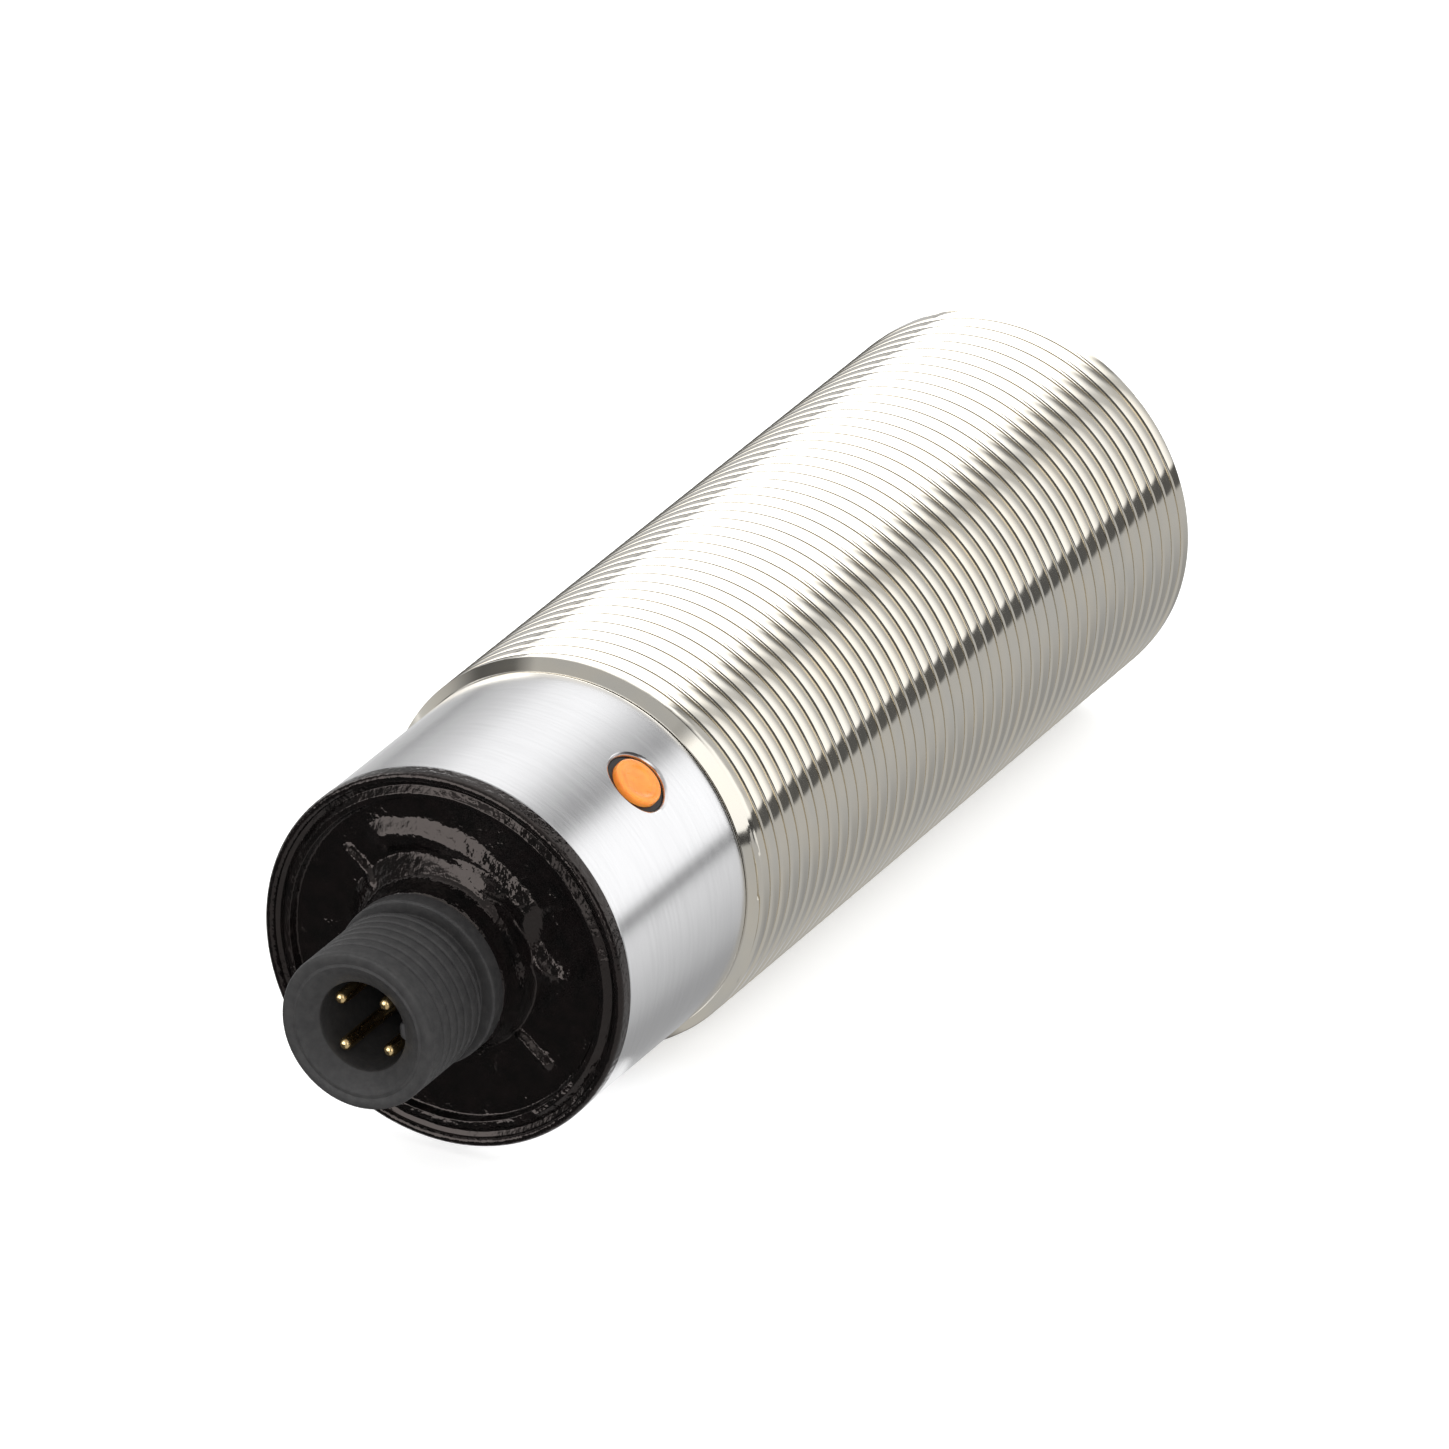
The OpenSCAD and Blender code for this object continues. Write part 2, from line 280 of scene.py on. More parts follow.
def shader_of(material):
    return material.node_tree.nodes["Principled BSDF"]


def new_material(name, color=(0.8, 0.8, 0.8), rough=0.5, metallic=0.0, **sockets):
    """A Principled material with its constant values on the shader's own sockets.

    vary_color and vary_roughness take the place of the constant colour and roughness."""
    material = bpy.data.materials.new(name)
    material.use_nodes = True
    shader = shader_of(material)
    shader.inputs["Base Color"].default_value = (*color, 1)
    shader.inputs["Roughness"].default_value = rough
    shader.inputs["Metallic"].default_value = metallic
    for socket, value in sockets.items():
        shader.inputs[socket.replace("_", " ")].default_value = value
    return material


def add_node(material, kind, **settings):
    node = material.node_tree.nodes.new(kind)
    for key, value in settings.items():
        setattr(node, key, value)
    return node


def stretched_noise(material, per_mm, detail=4.0):
    """Noise in the body's own millimetres; per_mm gives its frequency along X, Y and Z."""
    links = material.node_tree.links
    place = add_node(material, "ShaderNodeTexCoord")
    mapping = add_node(material, "ShaderNodeMapping")
    mapping.inputs["Scale"].default_value = [f / MM for f in per_mm]
    texture = add_node(material, "ShaderNodeTexNoise")
    texture.inputs["Scale"].default_value = 1.0
    texture.inputs["Detail"].default_value = detail
    links.new(place.outputs["Object"], mapping.inputs["Vector"])
    links.new(mapping.outputs["Vector"], texture.inputs["Vector"])
    return texture.outputs["Fac"]


def vary_color(material, per_mm, color_a, color_b, low=0.35, high=0.65):
    """Base colour that drifts between two colours, as the noise goes from low to high."""
    links = material.node_tree.links
    ramp = add_node(material, "ShaderNodeValToRGB")
    ramp.color_ramp.elements[0].position = low
    ramp.color_ramp.elements[0].color = (*color_a, 1)
    ramp.color_ramp.elements[1].position = high
    ramp.color_ramp.elements[1].color = (*color_b, 1)
    links.new(stretched_noise(material, per_mm), ramp.inputs["Fac"])
    links.new(ramp.outputs["Color"], shader_of(material).inputs["Base Color"])


def vary_roughness(material, per_mm, low, high):
    """Roughness that drifts between two values."""
    links = material.node_tree.links
    spread = add_node(material, "ShaderNodeMapRange")
    spread.inputs["From Min"].default_value = NOISE_RANGE[0]
    spread.inputs["From Max"].default_value = NOISE_RANGE[1]
    spread.inputs["To Min"].default_value = low
    spread.inputs["To Max"].default_value = high
    links.new(stretched_noise(material, per_mm), spread.inputs["Value"])
    links.new(spread.outputs["Result"], shader_of(material).inputs["Roughness"])


def add_bump(material, per_mm, height_mm, strength=1.0, detail=4.0):
    """Fine unevenness of the surface's shading, with its height in millimetres."""
    links = material.node_tree.links
    bump = add_node(material, "ShaderNodeBump")
    bump.inputs["Strength"].default_value = strength
    bump.inputs["Distance"].default_value = height_mm * MM
    links.new(stretched_noise(material, per_mm, detail), bump.inputs["Height"])
    links.new(bump.outputs["Normal"], shader_of(material).inputs["Normal"])


def plated_brass():
    material = new_material("plated_brass", metallic=1.0)
    vary_color(material, (0.25, 0.6, 0.25), (0.85, 0.80, 0.70), (0.80, 0.77, 0.70))
    vary_roughness(material, (0.4, 3, 0.4), 0.055, 0.09)
    add_bump(material, (9, 9, 9), 0.001, 0.5)
    return material


def satin_steel():
    material = new_material("satin_steel", metallic=1.0)
    vary_color(material, (0.2, 3, 0.2), (0.83, 0.83, 0.84), (0.80, 0.80, 0.81))
    vary_roughness(material, (0.3, 4, 0.3), 0.205, 0.23)
    add_bump(material, (7, 12, 7), 0.001, 0.4)
    return material


def gloss_black():
    material = new_material("gloss_black", Specular_Tint=(1.0, 0.87, 0.82, 1))
    vary_color(material, (0.8, 0.8, 0.8), (0.002, 0.002, 0.002), (0.004, 0.003, 0.003))
    vary_roughness(material, (2, 2, 2), 0.06, 0.14)
    add_bump(material, (1.9, 1.9, 1.9), 0.12, 0.7, 2.0)
    return material


def plug_plastic():
    material = new_material("plug_plastic")
    vary_color(material, (1.5, 1.5, 1.5), (0.019, 0.0185, 0.019), (0.027, 0.026, 0.026))
    vary_roughness(material, (4, 4, 4), 0.5, 0.65)
    add_bump(material, (14, 14, 14), 0.008, 0.5)
    return material


def black_plastic(name="black_plastic", color=(0.014, 0.014, 0.015)):
    material = new_material(name)
    lighter = tuple(1.5 * c for c in color)
    vary_color(material, (2, 2, 2), color, lighter)
    vary_roughness(material, (5, 5, 5), 0.34, 0.5)
    add_bump(material, (16, 16, 16), 0.006, 0.4)
    return material


def gold_contact():
    material = new_material("gold_contact", metallic=1.0)
    vary_color(material, (1, 1, 1), (0.93, 0.72, 0.38), (0.86, 0.62, 0.30))
    vary_roughness(material, (5, 5, 5), 0.14, 0.28)
    add_bump(material, (3, 25, 3), 0.003, 0.4)
    return material


def orange_lens():
    material = new_material("orange_lens", Subsurface_Weight=0.4, Subsurface_Scale=0.0008,
                            Subsurface_Radius=(1.0, 0.35, 0.1), Coat_Weight=0.2)
    vary_color(material, (1.2, 1.2, 1.2), (0.90, 0.31, 0.05), (0.85, 0.25, 0.035))
    vary_roughness(material, (4, 4, 4), 0.26, 0.4)
    add_bump(material, (8, 8, 8), 0.006, 0.4)
    return material


def rubber():
    material = new_material("seal_rubber", rough=0.7)
    vary_color(material, (2, 2, 2), (0.016, 0.016, 0.016), (0.028, 0.028, 0.028))
    add_bump(material, (12, 12, 12), 0.01, 0.5)
    return material


def circuit_board():
    material = new_material("circuit_board", rough=0.35, Coat_Weight=0.3)
    vary_color(material, (0.9, 0.9, 0.9), (0.015, 0.11, 0.045), (0.03, 0.17, 0.07), 0.48, 0.52)
    add_bump(material, (1.2, 1.2, 1.2), 0.03, 0.5, 1.0)
    return material


def plain_variants():
    """The remaining slots, each with a darker tone, uneven roughness and fine bump of its own."""
    # name, colour, roughness, metallic
    rows = [
        ("potting_resin", (0.012, 0.012, 0.012), 0.2, 0.0),
        ("led_package", (0.80, 0.62, 0.28), 0.3, 0.0),
        ("chip_package", (0.022, 0.022, 0.024), 0.5, 0.0),
        ("ferrite", (0.06, 0.06, 0.065), 0.6, 0.0),
        ("can_metal", (0.80, 0.80, 0.80), 0.25, 1.0),
        ("liner_plastic", (0.55, 0.42, 0.20), 0.35, 0.0),
        ("red_emitter", (0.60, 0.02, 0.02), 0.12, 0.0),
    ]
    out = {}
    for name, color, rough, metallic in rows:
        material = new_material(name, metallic=metallic)
        vary_color(material, (1.5, 1.5, 1.5), color, tuple(0.8 * c for c in color))
        vary_roughness(material, (4, 4, 4), 0.8 * rough, 1.25 * rough)
        add_bump(material, (9, 9, 9), 0.006, 0.4)
        out[name] = material
    return out


def clear_lens():
    material = new_material("clear_lens", (0.93, 0.96, 0.97), 0.04, Transmission_Weight=1.0, IOR=1.49)
    add_bump(material, (1.0, 1.0, 1.0), 0.002, 0.3)
    return material


def window_plastic():
    material = new_material("window_plastic", (0.55, 0.03, 0.04), 0.03, Transmission_Weight=1.0, IOR=1.49)
    add_bump(material, (0.5, 0.5, 0.5), 0.002, 0.3)
    return material


MATERIALS = {
    "plated_brass": plated_brass(),
    "satin_steel": satin_steel(),
    "gloss_black": gloss_black(),
    "plug_plastic": plug_plastic(),
    "carrier_plastic": black_plastic("carrier_plastic", (0.012, 0.012, 0.014)),
    "black_plastic": black_plastic(),
    "gold_contact": gold_contact(),
    "orange_lens": orange_lens(),
    "seal_rubber": rubber(),
    "circuit_board": circuit_board(),
    "clear_lens": clear_lens(),
    "window_plastic": window_plastic(),
    **plain_variants(),
}
SLOTS = {part["node"]: part["material_slot"] for part in frame["record"]["subparts"]}

for node, piece in frame["nodes"].items():
    for slot in piece.material_slots:
        slot.material = MATERIALS[SLOTS[node]]


def stand_for(piece, node):
    """The piece takes a CAD node's place, finish and body."""
    piece.data.materials.append(MATERIALS[SLOTS[node]])
    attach(piece, "root")
    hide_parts(node)


# ---------------------------------------------------------------- barrel

BARREL_SIDES = 144
BARREL_PITCH = 1.5
BARREL_CHAMFER = 0.65
BARREL_START_ANGLE = math.radians(19)
BARREL_START_Y = JOINT + 0.62
CHAMFER_STEPS = 6
REAR_STEP = 0.05
SPIGOT_R = 13.3
SPIGOT_END = low_y("threaded_barrel")
BORE_R = BARREL_R - 2.2
FRONT_BORE_R = BARREL_R - 1.8
FRONT_BORE_DEPTH = 3.0
FRONT_CHAMFER = 0.5


def make_barrel():
    """The threaded tube, with a chamfered rear edge, a rounded front edge and a spigot inside the sleeve."""
    thread = Thread(BARREL_FORM, BARREL_R, BARREL_PITCH, BARREL_START_Y, BARREL_START_ANGLE)
    slope = [i / CHAMFER_STEPS for i in range(CHAMFER_STEPS + 1)]
    rear_r = SLEEVE_R + REAR_STEP
    rear = [(rear_r + (BARREL_R - rear_r) * t, JOINT + BARREL_CHAMFER * t) for t in slope[:-1]]
    front = [(BARREL_R - FRONT_CHAMFER * t ** 2, -FRONT_CHAMFER * (1 - t)) for t in slope[1:]]
    inside = rounded([
        (FRONT_BORE_R, 0), (FRONT_BORE_R, -FRONT_BORE_DEPTH), (BORE_R, -FRONT_BORE_DEPTH),
        (BORE_R, SPIGOT_END), (SPIGOT_R, SPIGOT_END), (SPIGOT_R, JOINT)
    ], [0.08, 0.05, 0.08, 0.1, 0.1, 0.03])
    return threaded_shell("barrel_shell", thread, JOINT + BARREL_CHAMFER, -FRONT_CHAMFER,
                          rear, front + inside, BARREL_SIDES)


stand_for(make_barrel(), "threaded_barrel")


# ---------------------------------------------------------------- sleeve

SLEEVE_SIDES = 144
SLEEVE_BORE_R = 13.35
SLEEVE_EDGE = 0.22
FRONT_EDGE = 0.4
FRONT_DROP = 0.12
SLEEVE_FRONT = JOINT - 0.07
HOLE_R = 2.4
HOLE_CHAMFER = 0.22
PATCH_CELLS = 14
ROWS_BEHIND = 8
ROWS_AHEAD = 4
# The rings round the hole: shares of the way from the patch's edge to the chamfer, then (share of the
# chamfer left, depth) over the chamfer and down the wall
HOLE_APPROACH = (0.25, 0.5, 0.72, 0.88, 0.96, 1.0)
HOLE_EDGE = ((0.6, 0.05), (0.15, 0.17), (0, 0.26), (0, 0.5), (0, SLEEVE_R - SLEEVE_BORE_R))


def sleeve_rows(patch_half_y):
    """The y of each row of the sleeve's skin, and the first and last row of the patch round the hole."""
    rows = [SLEEVE_END + SLEEVE_EDGE]
    behind = INDICATOR_Y - patch_half_y - rows[0]
    rows += [rows[0] + behind * i / ROWS_BEHIND for i in range(1, ROWS_BEHIND + 1)]
    first = len(rows) - 1
    cell_y = 2 * patch_half_y / PATCH_CELLS
    rows += [INDICATOR_Y - patch_half_y + cell_y * i for i in range(1, PATCH_CELLS + 1)]
    last = len(rows) - 1
    ahead = SLEEVE_FRONT - FRONT_EDGE - rows[-1]
    rows += [rows[-1] + ahead * i / ROWS_AHEAD for i in range(1, ROWS_AHEAD + 1)]
    return rows, first, last


def make_sleeve():
    """A tube with a drilled, chamfered hole.

    A square patch of the tube's skin is replaced by rings round the hole."""
    bm = bmesh.new()
    step = TAU / SLEEVE_SIDES
    half = PATCH_CELLS // 2
    rows, first, last = sleeve_rows(half * SLEEVE_R * step)
    start = INDICATOR_ANGLE - half * step
    skin = [[bm.verts.new(polar(SLEEVE_R, y, start + step * i)) for i in range(SLEEVE_SIDES)] for y in rows]
    for k in range(len(rows) - 1):
        for i in range(SLEEVE_SIDES):
            if first <= k < last and i < PATCH_CELLS:
                continue
            j = (i + 1) % SLEEVE_SIDES
            bm.faces.new((skin[k][i], skin[k][j], skin[k + 1][j], skin[k + 1][i]))
    edge = [skin[first][i] for i in range(PATCH_CELLS)]
    edge += [skin[first + i][PATCH_CELLS] for i in range(PATCH_CELLS)]
    edge += [skin[last][PATCH_CELLS - i] for i in range(PATCH_CELLS)]
    edge += [skin[last - i][0] for i in range(PATCH_CELLS)]
    add_hole(bm, edge, start + half * step)
    front = [(SLEEVE_R - FRONT_DROP * (1 - math.cos(t)), SLEEVE_FRONT - FRONT_EDGE * (1 - math.sin(t)))
             for t in arc_steps(6)]
    rear = rounded([
        (SLEEVE_BORE_R, SLEEVE_FRONT), (SLEEVE_BORE_R, SLEEVE_END), (SLEEVE_R - SLEEVE_EDGE, SLEEVE_END),
        (SLEEVE_R, SLEEVE_END + SLEEVE_EDGE)
    ], [0.03, 0.03, 0.05, 0])
    add_rings(bm, turned_rings(front + rear, SLEEVE_SIDES, start), closed=False)
    return finish_mesh(bm, "sleeve_tube", 25)


def add_hole(bm, edge, centre_angle):
    """Rings from a patch's square edge in to the hole, over its chamfer and down its wall."""
    spokes = []
    for vert in edge:
        across = SLEEVE_R * (math.atan2(vert.co.z, vert.co.x) - centre_angle)
        along = vert.co.y - INDICATOR_Y
        spokes.append((math.atan2(along, across), math.hypot(across, along)))

    def point(spoke, distance, depth):
        """A point on the sleeve, at a distance from the hole's axis and a depth under the skin."""
        angle = centre_angle + math.cos(spoke) * distance / SLEEVE_R
        return polar(SLEEVE_R - depth, INDICATOR_Y + math.sin(spoke) * distance, angle)

    rim = HOLE_R + HOLE_CHAMFER
    rings = [[point(spoke, reach + (rim - reach) * share, 0) for spoke, reach in spokes]
             for share in HOLE_APPROACH]
    rings += [[point(spoke, HOLE_R + share * HOLE_CHAMFER, depth) for spoke, _ in spokes]
              for share, depth in HOLE_EDGE]
    previous = edge
    for ring in rings:
        verts = [bm.verts.new(p) for p in ring]
        for i in range(len(verts)):
            j = (i + 1) % len(verts)
            bm.faces.new((previous[i], previous[j], verts[j], verts[i]))
        previous = verts


stand_for(make_sleeve(), "plain_sleeve")


# ---------------------------------------------------------------- indicator

LENS_R = 1.9
LENS_TOP = SLEEVE_R + 0.1
STEM_R = 1.5
STEM_BASE = 2.0
SHOULDER = 12.6
DISH_SHARE = 0.62


def point_outwards(piece):
    """Turns a piece drawn about Y so that its axis points out through the indicator hole."""
    out = Vector(polar(1, 0, INDICATOR_ANGLE))
    matrix = Vector((0, 1, 0)).rotation_difference(out).to_matrix().to_4x4()
    matrix.translation = Vector((0, INDICATOR_Y * MM, 0))
    piece.data.transform(matrix)
    return piece


def make_indicator_lens():
    """A light guide that widens from a point to a shoulder, with a broad dished head.

    It is drawn about Y, from the body's axis outwards, and then turned."""
    shoulder = rounded([(STEM_R, STEM_BASE), (STEM_R, SHOULDER), (LENS_R, SHOULDER)], 0.05)[5:-5]
    head = [(LENS_R, SHOULDER + 0.05), (LENS_R, LENS_TOP - 0.22), (LENS_R - 0.05, LENS_TOP - 0.08),
            (LENS_R - 0.16, LENS_TOP - 0.01), (LENS_R - 0.3, LENS_TOP),
            (LENS_R * 0.74, LENS_TOP - 0.02), (LENS_R * 0.68, LENS_TOP - 0.07)]
    dish = [(LENS_R * DISH_SHARE * math.cos(t), LENS_TOP - 0.13 - 0.05 * math.sin(t)) for t in arc_steps(6)]
    outline = [(0, STEM_BASE)] + shoulder + head + dish + [(0, LENS_TOP - 0.18)]
    return point_outwards(turned("indicator_light_guide", outline, 64, closed=False))


stand_for(make_indicator_lens(), "indicator_lens")


# ---------------------------------------------------------------- rear cap

CAP_SIDES = 288
HUB_R = 6.3
BEAD_R = 0.36
DISH_DEPTH = 0.8
CAP_FLOOR = RIM + DISH_DEPTH
FLOOR_R = 11
FLOOR_STEPS = 26
RELIEF_RADII = (6.6, 12)
# The foot is the curved slope from the floor up to the hub
FOOT_R = 8.2
FOOT_WIDTH = 1.5
FOOT_HEIGHT = 1.15
FOOT_STEPS = 18
FOOT_SPREAD = (-0.35, 1.35)
FOOT_RADII = (6.65, FOOT_R)
FOOT_MIDDLE = math.radians(112)
FOOT_FADE_DEGREES = (48, 66)
TIGHT_FOOT = (6.7, 7.1)
# Inside the cap
SKIRT_R = 13.3
SKIRT_END = SLEEVE_END + 4.2
SEAL_GROOVE_R = 12.2
SEAL_GROOVE = (SLEEVE_END + 1.75, SLEEVE_END + 3.05)
CAP_BORE_R = 5.2
CAP_BACK = RIM + 2.4
# The arc-shaped ridge on the floor: its two ends, its height, and the radii where it rises and falls
RIDGE_FROM = math.radians(-2)
RIDGE_TO = math.radians(128)
RIDGE_HEIGHT = 0.55
RIDGE_RISE = (8.3, 9.6)
RIDGE_FALL = (9.9, 11.4)
RIDGE_FADE = (-1.4, 0.4)
RIDGE_INSET = 0.9
# The ridge drifts inwards, in millimetres per radian, between these angles
RIDGE_DRIFT = 1.66
RIDGE_DRIFT_FROM = math.radians(55)
RIDGE_DRIFT_TO = math.radians(95)
HOLLOW_FROM_AXIS = 9.7
HOLLOW_ANGLE = math.radians(20)
HOLLOW_R = 2.6
HOLLOW_DEPTH = 0.22
HOLLOW_EDGE = (HOLLOW_R - 0.6, HOLLOW_R + 0.5)
HOLLOW_CUT = (HOLLOW_R - 1.0, HOLLOW_R + 0.6)
RIB_HALF_WIDTH = 0.28
RIB_HEIGHT = 0.4
RIB_SIDE = (RIB_HALF_WIDTH * 0.3, RIB_HALF_WIDTH * 1.8)
RIB_START = (6.8, 7.6)
RIB_STOP = (10.2, 10.8)
# The resin's waves: heights in millimetres and frequencies per millimetre
BROAD_WAVE = (0.09, 0.5)
FINE_WAVE = (0.03, 1.6)
ROUGH_EXTRA = 0.035
ROUGH_FROM_DEGREES = (8, 20)
ROUGH_TO_DEGREES = (50, 66)
ROUGH_RADII = (8.6, 9.4)
WAVE_START = (6.35, 7.2)
WAVE_STOP = (13.3, 13.8)
CALMER_RADII = (8.8, 12)
CALMER_SHARE = 0.8


def ridge_height(r, angle):
    """The arc-shaped ridge, which fades at both ends and is cut away round the hollow."""
    drift = RIDGE_DRIFT * (RIDGE_DRIFT_TO - max(signed(angle), RIDGE_DRIFT_FROM))
    ridge_r = r + RIDGE_INSET + drift
    middle = (RIDGE_FROM + RIDGE_TO) / 2
    past_end = abs(signed(angle - middle)) - (RIDGE_TO - RIDGE_FROM) / 2
    end = 1 - smooth_step(past_end * r, *RIDGE_FADE)
    across = smooth_step(ridge_r, *RIDGE_RISE) * (1 - smooth_step(ridge_r, *RIDGE_FALL))
    return RIDGE_HEIGHT * end * across


def rib_height(r, angle):
    """The two ribs, a quarter turn to each side of the indicator."""
    height = 0
    for side in (1, -1):
        rib = INDICATOR_ANGLE + side * math.pi / 2
        if math.cos(angle - rib) > 0:
            offset = abs(r * math.sin(angle - rib))
            rise = 1 - smooth_step(offset, *RIB_SIDE)
            height += RIB_HEIGHT * rise * smooth_step(r, *RIB_START) * (1 - smooth_step(r, *RIB_STOP))
    return height


def cap_relief(r, angle):
    """How far the floor stands proud at a point: the ridge, the hollow at its end and the ribs."""
    x, _, z = polar(r, 0, angle)
    hollow_x, _, hollow_z = polar(HOLLOW_FROM_AXIS, 0, HOLLOW_ANGLE)
    away = math.hypot(x - hollow_x, z - hollow_z)
    ridge = ridge_height(r, angle) * smooth_step(away, *HOLLOW_CUT)
    return ridge - HOLLOW_DEPTH * (1 - smooth_step(away, *HOLLOW_EDGE)) + rib_height(r, angle)


def foot_share(r, angle):
    """How much of the foot's height is left: beyond its gentle stretch it is a tight corner at the hub."""
    degrees = math.degrees(signed(angle - FOOT_MIDDLE))
    gentle = 1 - smooth_step(abs(degrees), *FOOT_FADE_DEGREES)
    return gentle + (1 - gentle) * (1 - smooth_step(r, *TIGHT_FOOT))


def wave_strength(r):
    """How strongly the resin's waves show at a radius: not at all on the hub and the bead."""
    strength = smooth_step(r, *WAVE_START) * (1 - smooth_step(r, *WAVE_STOP))
    return strength * CALMER_SHARE if CALMER_RADII[0] < r < CALMER_RADII[1] else strength


def cap_wave(r, y, angle):
    """The uneven skin of the set resin, roughest beside the indicator."""
    place = Vector(polar(r, y, angle))
    degrees = math.degrees(signed(angle))
    rough = smooth_step(degrees, *ROUGH_FROM_DEGREES) * (1 - smooth_step(degrees, *ROUGH_TO_DEGREES))
    rough *= smooth_step(r, *ROUGH_RADII)
    fine = FINE_WAVE[0] + ROUGH_EXTRA * rough
    broad = BROAD_WAVE[0] * noise.noise(place * BROAD_WAVE[1])
    return wave_strength(r) * (broad + fine * noise.noise(place * FINE_WAVE[1]))


def cap_outside():
    """The outline of the cap's outside: edge, bead, the groove inside the bead, floor, foot and hub."""
    bead = [(CAP_R - BEAD_R * (1 - math.cos(t)), RIM + BEAD_R * (1 - math.sin(t)))
            for t in arc_steps(10, math.pi)]
    groove = rounded([
        (CAP_R - 2 * BEAD_R, RIM + BEAD_R), (13.2, RIM + 0.52), (12.7, RIM + 0.14), (12.3, RIM + 0.2),
        (12.1, CAP_FLOOR), (FLOOR_R, CAP_FLOOR)
    ], [0, 0.1, 0.15, 0.1, 0.2, 0], 5)[1:]
    floor = [(FLOOR_R - (FLOOR_R - FOOT_R) * k / FLOOR_STEPS, CAP_FLOOR) for k in range(1, FLOOR_STEPS)]
    rises = [smooth_step(k / FOOT_STEPS, *FOOT_SPREAD) for k in range(FOOT_STEPS + 1)]
    foot = [(FOOT_R - FOOT_WIDTH * k / FOOT_STEPS,
             CAP_FLOOR - FOOT_HEIGHT * rise / rises[-1] + FOOT_HEIGHT * rises[0] * (1 - k / FOOT_STEPS))
            for k, rise in enumerate(rises)]
    hub = [(6.5, RIM - 0.75), (6.38, RIM - 1.2), (HUB_R + 0.02, RIM - 1.7), (HUB_R, HUB_END + 0.15),
           (HUB_R - 0.1, HUB_END), (CAP_BORE_R + 0.05, HUB_END)]
    return [(CAP_R, SLEEVE_END)] + bead + groove + floor + foot + hub


def cap_inside():
    """The outline of the cap's inside: its bore, the skirt in the sleeve and the seal's groove."""
    groove_low, groove_high = SEAL_GROOVE
    return [(CAP_BORE_R, CAP_BACK), (FLOOR_R, CAP_BACK), (FLOOR_R, SKIRT_END), (SKIRT_R - 0.05, SKIRT_END),
            (SKIRT_R, SKIRT_END - 0.05), (SKIRT_R, groove_high), (SEAL_GROOVE_R, groove_high),
            (SEAL_GROOVE_R, groove_low), (SKIRT_R, groove_low), (SKIRT_R, SLEEVE_END)]


def cap_point(r, y, angle):
    """A point of the cap's outside, with the foot, the relief and the waves worked in."""
    share = foot_share(r, angle) if FOOT_RADII[0] < r < FOOT_RADII[1] else 1
    lift = cap_relief(r, angle) if RELIEF_RADII[0] < r < RELIEF_RADII[1] else 0
    return polar(r, CAP_FLOOR + (y - CAP_FLOOR) * share - lift + cap_wave(r, y, angle), angle)


def make_cap():
    """The cap as a fine polar grid, pushed out where its face has relief."""
    bm = bmesh.new()
    angles = [TAU * i / CAP_SIDES for i in range(CAP_SIDES)]
    rings = [[cap_point(r, y, angle) for angle in angles] for r, y in cap_outside()]
    add_rings(bm, rings + turned_rings(cap_inside(), CAP_SIDES))
    return finish_mesh(bm, "rear_cap_moulding", 50)


stand_for(make_cap(), "rear_cap")


# ---------------------------------------------------------------- plug

PLUG_SIDES = 96
PLUG_PITCH = 1.0
PLUG_START_Y = TIP + 1.3
PLUG_START_ANGLE = math.radians(200)
PLUG_THREAD_END = RIM - 5
RUN_OUT = 0.45
RUN_OUT_DROP = 0.55
RELIEF_R = 5.25
COLLAR_FRONT = RIM - 4
PLUG_BACK_R = 5.2
CAVITY_R = 4.2
MOUTH_R = 5.1
MOUTH_DEPTH = 0.9
MOUTH_RINGS = 6
MOUTH_CURVE = 1.5
RING_STEP = 0.05
WALL_R = 3.4
PLUG_NOSE = 0.3
CAVITY_FLOOR = TIP + 9.4
WALL_END = CAVITY_FLOOR - 0.3
KEY_ANGLE = INDICATOR_ANGLE - math.pi / 4
KEY_HALF_WIDTH = 0.6
KEY_HEIGHT = 0.6
KEY_ROOT = 0.15
KEY_START = TIP + 1.0


def plug_cavity():
    """The outline of the cavity: a shallow ringed cone, a narrow bore, and a wider seat for the insert."""
    outline = [(MOUTH_R + RING_STEP, TIP), (MOUTH_R, TIP + 0.04)]
    for k in range(1, MOUTH_RINGS + 1):
        r = MOUTH_R + (WALL_R - MOUTH_R) * k / MOUTH_RINGS
        y = TIP + MOUTH_DEPTH * (k / MOUTH_RINGS) ** MOUTH_CURVE
        outline += [(r + RING_STEP, y - 0.06), (r, y)]
    outline += [(WALL_R - 0.02, TIP + MOUTH_DEPTH + 0.3), (WALL_R, WALL_END)]
    return outline + [(CAVITY_R, WALL_END), (CAVITY_R, CARRIER_BACK)]


